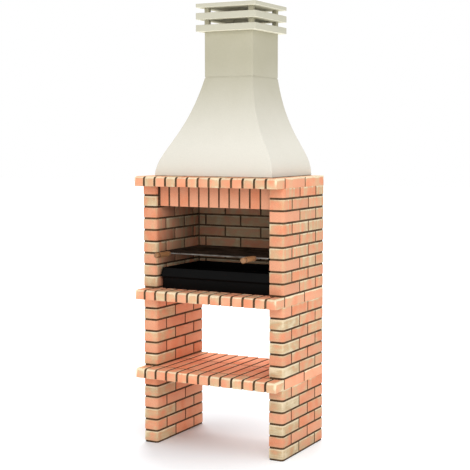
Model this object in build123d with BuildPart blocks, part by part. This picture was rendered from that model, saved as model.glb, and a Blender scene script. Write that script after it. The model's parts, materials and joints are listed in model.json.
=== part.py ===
"""Outdoor masonry barbecue: two brick piers, three brick shelves, a firebox with a grill and a
charcoal tray, and a cast concrete hood with its flue and rain cap.

X runs to the right along the front, Y from the front to the back and Z up. The origin is on the
ground, under the middle of the whole outline. All lengths are in millimetres.
"""
import os
from math import atan2, degrees

from build123d import *

os.makedirs("parts", exist_ok=True)

# Bricks and mortar of the piers
brick_length = 182.0
brick_width = 78.0
brick_height = 50.0
joint = 10.0
rake = 3.0
pier_corner_radius = 17.0
bay_width = 655.0

# Courses in each tier of a pier, from the ground up
lower_courses = 6
middle_courses = 6
upper_courses = 9
top_course_cut = 5.0

# Shelves of narrow bricks that run from front to back
shelf_thickness = 51.0
shelf_overhang = 85.0
shelf_joint = 12.4
shelf_rows = 13
nose_length = 95.0
nose_radius = 18.0
nose_under_radius = 5.0
shelf_corner_radius = 4.0
rod_radius = 4.0
rod_cover = 25.0
rod_fit = 0.05

# Smoke throat in the top shelf, between the lintel and the back wall
throat_rows = 9
throat_front_ledge = 4.5
throat_back_ledge = 62.0

# Back wall of the firebox
back_wall_thickness = 46.0
back_brick_length = 206.5
back_even_lead = 34.0
back_odd_lead = 156.0

# Soldier bricks over the firebox mouth
lintel_bricks_count = 11
lintel_courses = 2
lintel_setback = 25.0
lintel_rod_bearing = 50.0

# Hood, flue and rain cap of cast concrete
hood_side_setback = 68.5
hood_height = 501.0
hood_wall = 28.0
hood_bed = 3.0
hood_bed_inset = 2.0
hood_front_setback = 1.0
hood_back_setback = 2.5
hood_corner_radius = 4.0
side_foot_share = 0.273
side_flare_share = 0.297
side_neck_share = 0.639
front_foot_share = 0.111
front_flare_share = 0.466
front_neck_share = 0.504
flue_width = 280.0
flue_depth = 295.0
flue_wall = 28.0
flue_height = 231.0
flue_corner_radius = 6.0
flue_bed = 6.0
flue_bed_inset = 2.0
cap_overhang = 33.0
cap_slab_thickness = 33.5
cap_plate_thickness = 20.0
cap_post_width = 25.0
cap_post_height = 27.5
cap_edge_radius = 3.0

# Grill of welded wire with turned wooden handles, sliding on two ledges
grill_course = 3
ledge_thickness = 4.0
ledge_reach = 12.0
ledge_embed = 30.0
slide_gap = 0.3
grill_side_gap = 4.0
grill_front_setback = 12.0
grill_back_gap = 4.0
grill_frame_radius = 3.5
grill_frame_bend = 12.0
grill_bar_radius = 2.0
grill_bar_count = 53
grill_cross_radius = 3.0
grill_cross_bars = 2
grill_weld_gap = 0.1
handle_inset = 72.0
handle_standoff = 20.0
handle_length = 128.0
handle_rear_radius = 13.5
handle_waist_radius = 13.0
handle_swell_radius = 15.5
handle_tip_radius = 12.0
handle_tip_rounding = 6.0
handle_waist_share = 0.3
handle_swell_share = 0.78
handle_bore_depth = 62.0
handle_bore_fit = 0.1

# Charcoal tray of folded sheet steel
tray_side_gap = 11.5
tray_front_setback = 29.0
tray_height = 107.0
tray_sheet = 3.0
tray_back_gap = 5.0
tray_corner_radius = 8.0
tray_bead_height = 62.0
tray_bead_width = 14.0
tray_bead_depth = 4.0

# Sizes that follow from the ones above
course = brick_height + joint
half_brick = brick_length / 2
long_lead = (brick_length, brick_length, half_brick)
short_lead = (half_brick, brick_length, brick_length)
pier_depth = sum(long_lead) + joint * (len(long_lead) - 1)
pier_x = (bay_width + brick_width) / 2
overall_width = bay_width + 2 * brick_width
shelf_brick_width = (overall_width - (shelf_rows - 1) * shelf_joint) / shelf_rows
shelf_pitch = shelf_brick_width + shelf_joint
shelf_depth = pier_depth + shelf_overhang
stretcher_length = (shelf_depth - nose_length - 2 * joint) / 2
side_rows = (shelf_rows - throat_rows) // 2

handle_reach = handle_standoff + handle_length - grill_front_setback
cap_reach = cap_overhang - hood_back_setback
overall_depth = handle_reach + pier_depth + cap_reach
back_y = overall_depth / 2 - cap_reach
front_y = back_y - pier_depth
nose_y = front_y - shelf_overhang
first_cross_joint_y = nose_y + nose_length + joint / 2
second_cross_joint_y = first_cross_joint_y + stretcher_length + joint

lower_shelf_z = lower_courses * course
middle_z = lower_shelf_z + shelf_thickness
hearth_shelf_z = middle_z + middle_courses * course
hearth_z = hearth_shelf_z + shelf_thickness
top_bed_z = hearth_z + (upper_courses - 1) * course
top_shelf_z = top_bed_z + course - top_course_cut
top_z = top_shelf_z + shelf_thickness
hood_z = top_z + hood_bed
hood_top_z = hood_z + hood_height
flue_z = hood_top_z + flue_bed
flue_top_z = flue_z + flue_height
lower_posts_z = flue_top_z + cap_slab_thickness
middle_frame_z = lower_posts_z + cap_post_height
upper_posts_z = middle_frame_z + cap_slab_thickness
top_plate_z = upper_posts_z + cap_post_height

back_wall_y = back_y - back_wall_thickness
lintel_y = front_y + lintel_setback
lintel_height = lintel_courses * course - joint - top_course_cut
lintel_z = top_shelf_z - lintel_height
lintel_brick_width = (bay_width - (lintel_bricks_count + 1) * joint) / lintel_bricks_count
lintel_pitch = lintel_brick_width + joint
lintel_rod_z = top_bed_z + joint / 2
lintel_rod_y = lintel_y + brick_width / 2
throat_front_y = lintel_y + brick_width + throat_front_ledge
throat_back_y = back_wall_y - throat_back_ledge

hood_half_width = overall_width / 2 - hood_side_setback
hood_front_y = front_y + hood_front_setback
hood_back_y = back_y - hood_back_setback
hood_depth = hood_back_y - hood_front_y
flue_half = flue_width / 2
flue_front_y = hood_back_y - flue_depth
flue_y = hood_back_y - flue_depth / 2
cap_width = flue_width + 2 * cap_overhang
cap_depth = flue_depth + 2 * cap_overhang

ledge_z = hearth_z + grill_course * course
grill_half_width = bay_width / 2 - grill_side_gap - grill_frame_radius
grill_front_y = front_y + grill_front_setback
grill_back_y = back_wall_y - grill_back_gap - grill_frame_radius
grill_z = ledge_z + ledge_thickness + slide_gap + grill_frame_radius
grill_bar_z = grill_z + grill_frame_radius + grill_bar_radius
grill_cross_z = grill_z + grill_frame_radius - grill_cross_radius
grill_bar_pitch = 2 * (grill_half_width - grill_frame_bend) / (grill_bar_count - 1)
grill_cross_pitch = (grill_back_y - grill_front_y) / (grill_cross_bars + 1)
handle_x = grill_half_width - handle_inset
ledge_y0 = grill_front_y - grill_frame_radius
ledge_length = back_wall_y - ledge_y0

tray_z = hearth_z + slide_gap
tray_half_width = bay_width / 2 - tray_side_gap - tray_bead_depth
tray_front_y = front_y + tray_front_setback + tray_bead_depth
tray_back_y = back_wall_y - tray_back_gap - tray_bead_depth
tray_depth = tray_back_y - tray_front_y
tray_y = (tray_front_y + tray_back_y) / 2
tray_bead_slope = degrees(atan2(tray_bead_depth + tray_sheet / 2, tray_bead_width / 2))


def keep(piece, name):
    """Labels a finished piece and writes it to its own file."""
    piece.part.label = name
    export_step(piece.part, f"parts/{name}.step")


def rod_along_x(radius, half_length, y, z):
    """A round bar that runs from left to right, centred on the middle of the bay."""
    with BuildPart() as bar:
        with BuildSketch(Plane.YZ):
            with Locations((y, z)):
                Circle(radius)
        extrude(amount=half_length, both=True)
    return bar


def height_of(level, courses, last_cut):
    """Height of the bricks in one course: the last one of a tier can be cut down."""
    return brick_height - last_cut if level == courses - 1 else brick_height


def pier_bricks(side, base_z, courses, last_cut=0):
    """One tier of a pier: long-lead and short-lead courses in turn, breaking joint.

    The front corner on the right is rounded, on both piers.
    """
    with BuildPart() as bricks:
        for level in range(courses):
            lengths = short_lead if level % 2 else long_lead
            y = front_y
            with BuildSketch(Plane.XY.offset(base_z + joint + level * course)) as plan:
                for length in lengths:
                    with Locations((side * pier_x, y + length / 2)):
                        Rectangle(brick_width, length)
                    y += length + joint
                fillet(plan.vertices().group_by(Axis.Y)[0].sort_by(Axis.X)[-1], pier_corner_radius)
            extrude(amount=height_of(level, courses, last_cut))
    return bricks


def pier_bed_outline(side):
    """Plan of a mortar bed, raked back from the faces of the pier."""
    with BuildSketch() as plan:
        with Locations((side * pier_x, front_y + pier_depth / 2)):
            Rectangle(brick_width - 2 * rake, pier_depth - 2 * rake)
        fillet(plan.vertices().group_by(Axis.Y)[0].sort_by(Axis.X)[-1], pier_corner_radius - rake)
    return plan.sketch


def pier_mortar(side, base_z, courses, first_bed, last_cut=0, holes=()):
    """Mortar of one tier: its beds and the upright joints between the bricks, in one casting."""
    outline = pier_bed_outline(side)
    with BuildPart() as mortar:
        for level in range(first_bed, courses):
            with BuildSketch(Plane.XY.offset(base_z + level * course)):
                add(outline)
            extrude(amount=joint)
        for level in range(courses):
            lengths = short_lead if level % 2 else long_lead
            y = front_y
            with BuildSketch(Plane.XY.offset(base_z + joint + level * course)):
                for length in lengths[:-1]:
                    with Locations((side * pier_x, y + length + joint / 2)):
                        Rectangle(brick_width - 2 * rake, joint)
                    y += length + joint
            extrude(amount=height_of(level, courses, last_cut))
        for hole in holes:
            add(hole.part, mode=Mode.SUBTRACT)
    return mortar


def nose_profile(base_z, inset):
    """Side view of a shelf, with the bullnose on its front edge, drawn in by an inset."""
    with BuildSketch(Plane.YZ) as profile:
        with BuildLine():
            Polyline(
                (nose_y + inset, base_z + inset),
                (back_y - inset, base_z + inset),
                (back_y - inset, base_z + shelf_thickness - inset),
                (nose_y + inset, base_z + shelf_thickness - inset),
                close=True,
            )
        make_face()
        fillet(profile.vertices().group_by(Axis.X)[0].sort_by(Axis.Y)[-1], nose_radius - inset)
        fillet(profile.vertices().group_by(Axis.X)[0].sort_by(Axis.Y)[0], nose_under_radius - inset)
    return profile.sketch


def plan_block(x0, x1, y0, y1):
    """A rectangle in the open sketch, given by its sides."""
    with Locations(((x0 + x1) / 2, (y0 + y1) / 2)):
        Rectangle(x1 - x0, y1 - y0)


def row_x(row):
    """Middle of a shelf row, counted from the middle of the shelf."""
    return (row - (shelf_rows - 1) / 2) * shelf_pitch


def in_throat(row):
    """Whether a shelf row is cut by the smoke throat."""
    return side_rows <= row < shelf_rows - side_rows


def shelf_bricks(base_z, with_throat):
    """Bricks of one shelf: bullnosed heads along the front and stretchers behind them."""
    with BuildPart() as bricks:
        with BuildSketch(Plane.XY.offset(base_z)) as heads:
            for row in range(shelf_rows):
                x0 = row_x(row) - shelf_brick_width / 2
                plan_block(x0, x0 + shelf_brick_width, nose_y, nose_y + nose_length)
            corners = heads.vertices().group_by(Axis.Y)[0].sort_by(Axis.X)
            fillet([corners[0], corners[-1]], shelf_corner_radius)
        extrude(amount=shelf_thickness)
        profile = nose_profile(base_z, 0)
        extrude(profile, amount=overall_width, both=True, mode=Mode.INTERSECT)
        with BuildSketch(Plane.XY.offset(base_z)):
            for row in range(shelf_rows):
                x0 = row_x(row) - shelf_brick_width / 2
                x1 = x0 + shelf_brick_width
                if with_throat and in_throat(row):
                    plan_block(x0, x1, first_cross_joint_y + joint / 2, throat_front_y)
                    plan_block(x0, x1, throat_back_y, back_y)
                else:
                    plan_block(x0, x1, first_cross_joint_y + joint / 2, second_cross_joint_y - joint / 2)
                    plan_block(x0, x1, second_cross_joint_y + joint / 2, back_y)
        extrude(amount=shelf_thickness)
    return bricks


def shelf_mortar(base_z, with_throat, rods):
    """Mortar of one shelf: a grid of long and cross joints, cast round the reinforcing rods."""
    side_x = overall_width / 2 - rake
    side_edge_x = row_x(shelf_rows - side_rows) - shelf_brick_width / 2
    with BuildPart() as mortar:
        with BuildSketch(Plane.XY.offset(base_z)):
            for row in range(shelf_rows - 1):
                x0 = row_x(row) + shelf_brick_width / 2
                x1 = x0 + shelf_joint
                if with_throat and (in_throat(row) or in_throat(row + 1)):
                    plan_block(x0, x1, nose_y + rake, throat_front_y - rake)
                    plan_block(x0, x1, throat_back_y + rake, back_y - rake)
                else:
                    plan_block(x0, x1, nose_y + rake, back_y - rake)
            plan_block(-side_x, side_x, first_cross_joint_y - joint / 2, first_cross_joint_y + joint / 2)
            if with_throat:
                y0 = second_cross_joint_y - joint / 2
                plan_block(-side_x, -side_edge_x - rake, y0, y0 + joint)
                plan_block(side_edge_x + rake, side_x, y0, y0 + joint)
            else:
                y0 = second_cross_joint_y - joint / 2
                plan_block(-side_x, side_x, y0, y0 + joint)
        extrude(amount=shelf_thickness)
        profile = nose_profile(base_z, rake)
        extrude(profile, amount=overall_width, both=True, mode=Mode.INTERSECT)
        for rod in rods:
            add(rod.part, mode=Mode.SUBTRACT)
    return mortar


def shelf_rods(base_z, radius, cross_joints):
    """Reinforcing rods that lie in the cross joints of a shelf."""
    half_length = overall_width / 2 - rod_cover
    z = base_z + shelf_thickness / 2
    return [rod_along_x(radius, half_length, y, z) for y in cross_joints]


# Grill ledges: flat steel bars bedded in the joint over the third firebox course
ledges = {}
for name, side in (("left", -1), ("right", 1)):
    ledge_x = side * (bay_width + ledge_embed - ledge_reach) / 2
    with BuildPart() as ledge:
        with BuildSketch(Plane.XY.offset(ledge_z)):
            with Locations((ledge_x, ledge_y0 + ledge_length / 2)):
                Rectangle(ledge_embed + ledge_reach, ledge_length)
        extrude(amount=ledge_thickness)
    keep(ledge, f"{name}_grill_ledge")
    ledges[name] = ledge

# Steel rod that carries the soldier bricks and bears in both piers
lintel_rod = rod_along_x(rod_radius, bay_width / 2 + lintel_rod_bearing, lintel_rod_y, lintel_rod_z)
keep(lintel_rod, "lintel_rod")
lintel_rod_hole = rod_along_x(
    rod_radius + rod_fit, bay_width / 2 + lintel_rod_bearing + rod_fit, lintel_rod_y, lintel_rod_z
)

# Piers: each tier has its bricks and its mortar, and the first bed lies on the ground
for name, side in (("left", -1), ("right", 1)):
    keep(pier_bricks(side, 0, lower_courses), f"{name}_lower_bricks")
    keep(pier_bricks(side, middle_z, middle_courses), f"{name}_middle_bricks")
    keep(pier_bricks(side, hearth_z, upper_courses, top_course_cut), f"{name}_upper_bricks")
    with BuildPart() as ground_bed:
        with BuildSketch():
            add(pier_bed_outline(side))
        extrude(amount=joint)
    keep(ground_bed, f"{name}_ground_bed")
    keep(pier_mortar(side, 0, lower_courses, 1), f"{name}_lower_mortar")
    keep(pier_mortar(side, middle_z, middle_courses, 0), f"{name}_middle_mortar")
    holes = (ledges[name], lintel_rod_hole)
    keep(pier_mortar(side, hearth_z, upper_courses, 0, top_course_cut, holes), f"{name}_upper_mortar")

# Shelves, from the ground up
for name, base_z, with_throat in (
    ("lower_shelf", lower_shelf_z, False),
    ("hearth_shelf", hearth_shelf_z, False),
    ("top_shelf", top_shelf_z, True),
):
    cross_joints = [first_cross_joint_y] if with_throat else [first_cross_joint_y, second_cross_joint_y]
    keep(shelf_bricks(base_z, with_throat), f"{name}_bricks")
    rod_holes = shelf_rods(base_z, rod_radius + rod_fit, cross_joints)
    keep(shelf_mortar(base_z, with_throat, rod_holes), f"{name}_mortar")
    with BuildPart() as rods:
        for rod in shelf_rods(base_z, rod_radius, cross_joints):
            add(rod.part)
    keep(rods, f"{name}_rods")


def back_course(level):
    """Ends of the bricks in one course of the back wall, from left to right."""
    right_end = bay_width / 2 - joint
    start = -right_end
    end = start + (back_even_lead if level % 2 else back_odd_lead)
    ends = []
    while start < right_end:
        ends.append((start, min(end, right_end)))
        start = end + joint
        end = start + back_brick_length
    return ends


# Back wall of the firebox, between the piers
with BuildPart() as back_wall_bricks:
    for level in range(upper_courses):
        with BuildSketch(Plane.XY.offset(hearth_z + joint + level * course)):
            for x0, x1 in back_course(level):
                plan_block(x0, x1, back_wall_y, back_y)
        extrude(amount=height_of(level, upper_courses, top_course_cut))
keep(back_wall_bricks, "back_wall_bricks")

with BuildPart() as back_wall_mortar:
    for level in range(upper_courses):
        bed_z = hearth_z + level * course
        with BuildSketch(Plane.XY.offset(bed_z)):
            plan_block(-bay_width / 2, bay_width / 2, back_wall_y + rake, back_y - rake)
        extrude(amount=joint)
        with BuildSketch(Plane.XY.offset(bed_z + joint)):
            plan_block(-bay_width / 2, -bay_width / 2 + joint, back_wall_y + rake, back_y - rake)
            for x0, x1 in back_course(level):
                plan_block(x1, x1 + joint, back_wall_y + rake, back_y - rake)
        extrude(amount=height_of(level, upper_courses, top_course_cut))
keep(back_wall_mortar, "back_wall_mortar")

# Soldier bricks over the firebox mouth, each bored for the rod
with BuildPart() as lintel_bricks:
    with BuildSketch(Plane.XY.offset(lintel_z)):
        with Locations((0, lintel_y + brick_width / 2)):
            with GridLocations(lintel_pitch, brick_width, lintel_bricks_count, 1):
                Rectangle(lintel_brick_width, brick_width)
    extrude(amount=lintel_height)
    add(lintel_rod_hole.part, mode=Mode.SUBTRACT)
keep(lintel_bricks, "lintel_bricks")

with BuildPart() as lintel_mortar:
    with BuildSketch(Plane.XY.offset(lintel_z + rake)):
        with Locations((0, lintel_y + brick_width / 2)):
            with GridLocations(lintel_pitch, brick_width, lintel_bricks_count + 1, 1):
                Rectangle(joint, brick_width - 2 * rake)
    extrude(amount=lintel_height - rake)
    add(lintel_rod_hole.part, mode=Mode.SUBTRACT)
keep(lintel_mortar, "lintel_mortar")


def ogee(foot, neck, foot_share, flare_share, neck_share):
    """One S-shaped edge of the hood in the open line: upright at the foot, flared at the neck."""
    Bezier(
        (foot, 0),
        (foot, foot_share * hood_height),
        (neck + flare_share * (foot - neck), hood_height - neck_share * hood_height),
        (neck, hood_height),
    )


def hood_bell(inset, corner_radius):
    """The hood as a solid bell: its front outline and its side outline cut each other.

    The left, right and front faces are ogees that meet in curved mitres, and the back is flat.
    The bell is drawn on its own foot, with the middle of the foot's back edge at the origin.
    """
    foot = hood_half_width - inset
    neck = flue_half - inset
    front_foot_y = inset - hood_depth
    front_neck_y = inset - flue_depth
    with BuildPart() as bell:
        with BuildSketch(Plane.XZ):
            with BuildLine():
                ogee(foot, neck, side_foot_share, side_flare_share, side_neck_share)
                ogee(-foot, -neck, side_foot_share, side_flare_share, side_neck_share)
                Line((-foot, 0), (foot, 0))
                Line((-neck, hood_height), (neck, hood_height))
            make_face()
        extrude(amount=2 * hood_depth, both=True)
        with BuildSketch(Plane.YZ):
            with BuildLine():
                ogee(front_foot_y, front_neck_y, front_foot_share, front_flare_share, front_neck_share)
                Line((front_neck_y, hood_height), (-inset, hood_height))
                Line((-inset, hood_height), (-inset, 0))
                Line((-inset, 0), (front_foot_y, 0))
            make_face()
        extrude(amount=2 * hood_half_width, both=True, mode=Mode.INTERSECT)
        if corner_radius:
            level_faces = bell.faces().filter_by(Axis.Z)
            level_edges = level_faces[0].edges() + level_faces[1].edges()
            corners = [edge for edge in bell.edges() if edge not in level_edges]
            fillet(corners, corner_radius)
    return bell


# Hood: a thin-walled bell, open below and above
hood_outer = hood_bell(0, hood_corner_radius)
hood_inner = hood_bell(hood_wall, 0)
with BuildPart() as hood_shell:
    with Locations((0, hood_back_y, hood_z)):
        add(hood_outer.part)
        add(hood_inner.part, mode=Mode.SUBTRACT)
keep(hood_shell, "hood_shell")

# Mortar bed that seats the hood on the top shelf
with BuildPart() as hood_seat:
    with BuildSketch(Plane.XY.offset(top_z)) as plan:
        edge_x = hood_half_width - hood_bed_inset
        plan_block(-edge_x, edge_x, hood_front_y + hood_bed_inset, hood_back_y - hood_bed_inset)
        fillet(plan.vertices(), hood_corner_radius - hood_bed_inset)
        with Locations((0, (hood_front_y + hood_back_y) / 2)):
            Rectangle(2 * (hood_half_width - hood_wall), hood_depth - 2 * hood_wall, mode=Mode.SUBTRACT)
    extrude(amount=hood_bed)
keep(hood_seat, "hood_mortar_bed")


def flue_ring(base_z, height, outset, corner_radius):
    """A square ring round the flue's bore, its outside moved out from the flue by an outset."""
    with BuildPart() as ring:
        with BuildSketch(Plane.XY.offset(base_z)) as plan:
            with Locations((0, flue_y)):
                Rectangle(flue_width + 2 * outset, flue_depth + 2 * outset)
            fillet(plan.vertices(), corner_radius)
            with Locations((0, flue_y)):
                Rectangle(flue_width - 2 * flue_wall, flue_depth - 2 * flue_wall, mode=Mode.SUBTRACT)
        extrude(amount=height)
    return ring


# Flue pipe on its mortar bed
flue_seat = flue_ring(hood_top_z, flue_bed, -flue_bed_inset, flue_corner_radius - flue_bed_inset)
keep(flue_seat, "flue_mortar_bed")
keep(flue_ring(flue_z, flue_height, 0, flue_corner_radius), "flue_pipe")


def cap_posts(base_z):
    """Four short posts, flush with the corners of the flue."""
    with BuildPart() as posts:
        with BuildSketch(Plane.XY.offset(base_z)):
            with Locations((0, flue_y)):
                with GridLocations(flue_width - cap_post_width, flue_depth - cap_post_width, 2, 2):
                    Rectangle(cap_post_width, cap_post_width)
        extrude(amount=cap_post_height)
    return posts


# Rain cap: two open frames and a closed plate, held apart by posts
keep(flue_ring(flue_top_z, cap_slab_thickness, cap_overhang, cap_edge_radius), "cap_bottom_frame")
keep(cap_posts(lower_posts_z), "cap_lower_posts")
keep(flue_ring(middle_frame_z, cap_slab_thickness, cap_overhang, cap_edge_radius), "cap_middle_frame")
keep(cap_posts(upper_posts_z), "cap_upper_posts")
with BuildPart() as cap_top_plate:
    with BuildSketch(Plane.XY.offset(top_plate_z)) as plan:
        with Locations((0, flue_y)):
            Rectangle(cap_width, cap_depth)
        fillet(plan.vertices(), cap_edge_radius)
    extrude(amount=cap_plate_thickness)
keep(cap_top_plate, "cap_top_plate")

# Grill frame: one round rod bent into a rectangle
with BuildPart() as grill_frame:
    with BuildSketch(Plane.XY.offset(grill_z)) as loop:
        plan_block(-grill_half_width, grill_half_width, grill_front_y, grill_back_y)
        fillet(loop.vertices(), grill_frame_bend)
    rail = loop.sketch.faces()[0].outer_wire()
    start = rail.edges().filter_by(GeomType.LINE).sort_by(Axis.Y)[0]
    with BuildSketch(Plane(origin=start @ 0.5, z_dir=start % 0.5)) as wire:
        Circle(grill_frame_radius)
    sweep(wire.sketch, path=rail)
keep(grill_frame, "grill_frame")

# Grill bars from front to back, welded on top of the frame
with BuildPart() as grill_bars:
    with BuildSketch(Plane.XZ.offset(-grill_front_y + grill_frame_radius)):
        with Locations((0, grill_bar_z)):
            with GridLocations(grill_bar_pitch, grill_bar_pitch, grill_bar_count, 1):
                Circle(grill_bar_radius)
    extrude(amount=-(grill_back_y - grill_front_y + 2 * grill_frame_radius))
keep(grill_bars, "grill_bars")

# Cross bars under them, butted to the side rails
with BuildPart() as cross_bars:
    with BuildSketch(Plane.YZ):
        with Locations(((grill_front_y + grill_back_y) / 2, grill_cross_z)):
            with GridLocations(grill_cross_pitch, grill_cross_pitch, grill_cross_bars, 1):
                Circle(grill_cross_radius)
    extrude(amount=grill_half_width - grill_frame_radius - grill_weld_gap, both=True)
keep(cross_bars, "grill_cross_bars")

# Handles: a steel shank welded to the front rail, and a turned wooden grip on it
handle_rear_y = grill_front_y - handle_standoff
shank_y = grill_front_y - grill_frame_radius - grill_weld_gap
shank_length = shank_y - (handle_rear_y - handle_bore_depth)
waist = Vector(handle_waist_share * handle_length, handle_waist_radius)
swell = Vector(handle_swell_share * handle_length, handle_swell_radius)
for name, side in (("left", -1), ("right", 1)):
    with BuildPart() as shank:
        with BuildSketch(Plane.XZ.offset(-shank_y)):
            with Locations((side * handle_x, grill_z)):
                Circle(grill_frame_radius)
        extrude(amount=shank_length)
    keep(shank, f"{name}_handle_shank")

    axis_plane = Plane(origin=(side * handle_x, handle_rear_y, grill_z), x_dir=(0, -1, 0), z_dir=(1, 0, 0))
    with BuildPart() as grip:
        with BuildSketch(axis_plane) as outline:
            with BuildLine():
                Line((0, 0), (0, handle_rear_radius))
                Line((0, handle_rear_radius), waist)
                hollow = TangentArc(waist, (waist + swell) / 2, tangent=(1, 0))
                TangentArc(hollow @ 1, swell, tangent=hollow % 1)
                TangentArc(swell, (handle_length, handle_tip_radius), tangent=(1, 0))
                Line((handle_length, handle_tip_radius), (handle_length, 0))
                Line((handle_length, 0), (0, 0))
            make_face()
            fillet(outline.vertices().group_by(Axis.X)[-1].sort_by(Axis.Y)[-1], handle_tip_rounding)
        revolve(axis=Axis((side * handle_x, handle_rear_y, grill_z), (0, -1, 0)))
        with BuildSketch(Plane.XZ.offset(-handle_rear_y)):
            with Locations((side * handle_x, grill_z)):
                Circle(grill_frame_radius + handle_bore_fit)
        extrude(amount=handle_bore_depth + handle_bore_fit, mode=Mode.SUBTRACT)
    keep(grip, f"{name}_handle")


def tray_block(inset, top_z):
    """The tray's outline as a solid block with its pressed bead, drawn in by an inset."""
    half_width = tray_half_width - inset
    depth = tray_depth - 2 * inset
    with BuildPart() as block:
        with BuildSketch(Plane.XY.offset(tray_z + inset)) as plan:
            with Locations((0, tray_y)):
                Rectangle(2 * half_width, depth)
            fillet(plan.vertices(), tray_corner_radius - inset)
        extrude(amount=top_z - tray_z - inset)
        with BuildSketch(Plane.XY.offset(tray_z + tray_bead_height)) as middle:
            with Locations((0, tray_y)):
                Rectangle(2 * (half_width + tray_bead_depth), depth + 2 * tray_bead_depth)
            fillet(middle.vertices(), tray_corner_radius - inset + tray_bead_depth)
        extrude(amount=tray_bead_width / 2, both=True, taper=tray_bead_slope)
    return block


# Charcoal tray: thin sheet with a bead pressed outwards all round and an open top
tray_outer = tray_block(0, tray_z + tray_height)
tray_inner = tray_block(tray_sheet, tray_z + tray_height)
with BuildPart() as charcoal_tray:
    add(tray_outer.part)
    add(tray_inner.part, mode=Mode.SUBTRACT)
keep(charcoal_tray, "charcoal_tray")
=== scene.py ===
"""Looks of an outdoor masonry barbecue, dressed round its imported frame.

The frame gives every brick, bed, rod and casting its place. This script gives them their worn
arrises, their fired, cast, painted and turned finishes, and stands them on a pale studio floor.
All lengths are in metres, in the frame of the model: X to the right, Y to the back and Z up.
"""
from __future__ import annotations

import json
import logging
import math
import random
from collections.abc import Callable, Iterator, Sequence
from dataclasses import dataclass
from enum import Enum

import bmesh
import bpy
from bpy.types import Material, Mesh, Node, NodeSocket, NodeTree, Object
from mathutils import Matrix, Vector
from mathutils.bvhtree import BVHTree

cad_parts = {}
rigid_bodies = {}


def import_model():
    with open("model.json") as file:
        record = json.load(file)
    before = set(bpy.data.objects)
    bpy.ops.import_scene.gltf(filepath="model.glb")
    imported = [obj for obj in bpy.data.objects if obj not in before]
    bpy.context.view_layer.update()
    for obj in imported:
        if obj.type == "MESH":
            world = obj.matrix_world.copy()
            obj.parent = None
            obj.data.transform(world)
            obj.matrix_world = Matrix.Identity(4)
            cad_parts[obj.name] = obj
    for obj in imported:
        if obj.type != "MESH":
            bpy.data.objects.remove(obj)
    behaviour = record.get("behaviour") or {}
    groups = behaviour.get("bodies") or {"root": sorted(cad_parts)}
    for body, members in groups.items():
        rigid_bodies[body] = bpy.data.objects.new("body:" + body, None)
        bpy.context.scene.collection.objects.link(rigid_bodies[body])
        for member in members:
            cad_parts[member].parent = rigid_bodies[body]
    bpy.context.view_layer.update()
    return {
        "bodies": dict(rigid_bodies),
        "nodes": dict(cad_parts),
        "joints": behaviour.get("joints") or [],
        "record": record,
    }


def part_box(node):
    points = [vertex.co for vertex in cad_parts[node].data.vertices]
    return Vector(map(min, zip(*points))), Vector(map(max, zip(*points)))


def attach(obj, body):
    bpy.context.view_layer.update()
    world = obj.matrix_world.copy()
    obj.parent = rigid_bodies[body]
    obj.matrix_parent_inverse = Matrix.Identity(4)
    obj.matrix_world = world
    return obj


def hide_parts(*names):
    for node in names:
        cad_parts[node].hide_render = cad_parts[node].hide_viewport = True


LOG = logging.getLogger("barbecue")
MM = 0.001
MERGE_DISTANCE = 0.01 * MM
FLAT_ANGLE = math.radians(1)
ARRIS_ANGLE = math.radians(30)
UPWARD = 0.9


class Side(Enum):
    """The two sides of the barbecue, seen from the front."""

    LEFT = -1
    RIGHT = 1

    @property
    def word(self) -> str:
        """The side's name as the frame writes it."""
        return self.name.lower()


class Tier(Enum):
    """The three tiers of a pier, from the ground up."""

    LOWER = "lower"
    MIDDLE = "middle"
    UPPER = "upper"


class Shelf(Enum):
    """The three brick shelves, from the ground up."""

    LOWER = "lower_shelf"
    HEARTH = "hearth_shelf"
    TOP = "top_shelf"


def linear(tone: str) -> tuple[float, float, float, float]:
    """Turns an sRGB hex colour into the linear colour that a shader socket takes.

    Args:
        tone: six hex digits after a hash.

    Returns:
        Red, green, blue and an alpha of one.
    """
    levels = [int(tone[i : i + 2], 16) / 255 for i in (1, 3, 5)]
    # The curve of the sRGB standard: straight in the darks, a power above them
    red, green, blue = (
        level / 12.92 if level <= 0.04045 else ((level + 0.055) / 1.055) ** 2.4 for level in levels
    )
    return red, green, blue, 1.0


def add_node(tree: NodeTree, kind: str, inputs: dict | Sequence = (), **settings) -> Node:
    """Adds one node with its settings and its links.

    Args:
        tree: the node tree that the node joins.
        kind: the node's type name.
        inputs: what feeds the sockets, by their name or number, or in the node's own order. Each
            is a value, an output socket, or a node that feeds in its first output.
        settings: the node's own properties.

    Returns:
        The new node.
    """
    node = tree.nodes.new(kind)
    for name, value in settings.items():
        setattr(node, name, value)
    for socket, value in inputs.items() if isinstance(inputs, dict) else enumerate(inputs):
        if isinstance(value, Node):
            value = value.outputs[0]
        if isinstance(value, NodeSocket):
            tree.links.new(value, node.inputs[socket])
        else:
            node.inputs[socket].default_value = value
    return node


def new_material(name: str) -> tuple[Material, NodeTree]:
    """Makes a material with an empty node tree.

    Args:
        name: the finish's common name.

    Returns:
        The material and its tree.
    """
    material = bpy.data.materials.new(name)
    material.use_nodes = True
    material.node_tree.nodes.clear()
    return material, material.node_tree


# Mix nodes keep their colour sockets at these places
MIX_FACTOR, MIX_A, MIX_B, MIX_RESULT = 0, 6, 7, 2
# A grain of noise is about half as wide as the noise's unit
NOISE_GRAIN = 0.5


class Grain(Enum):
    """How the drag marks of a brick's skin run: each is the noise's scale along X, Y and Z."""

    LEVEL = (0.16, 0.16, 1.0)
    UPRIGHT = (1.0, 0.16, 0.16)
    BANDED = (0.2, 1.0, 0.1)


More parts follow.
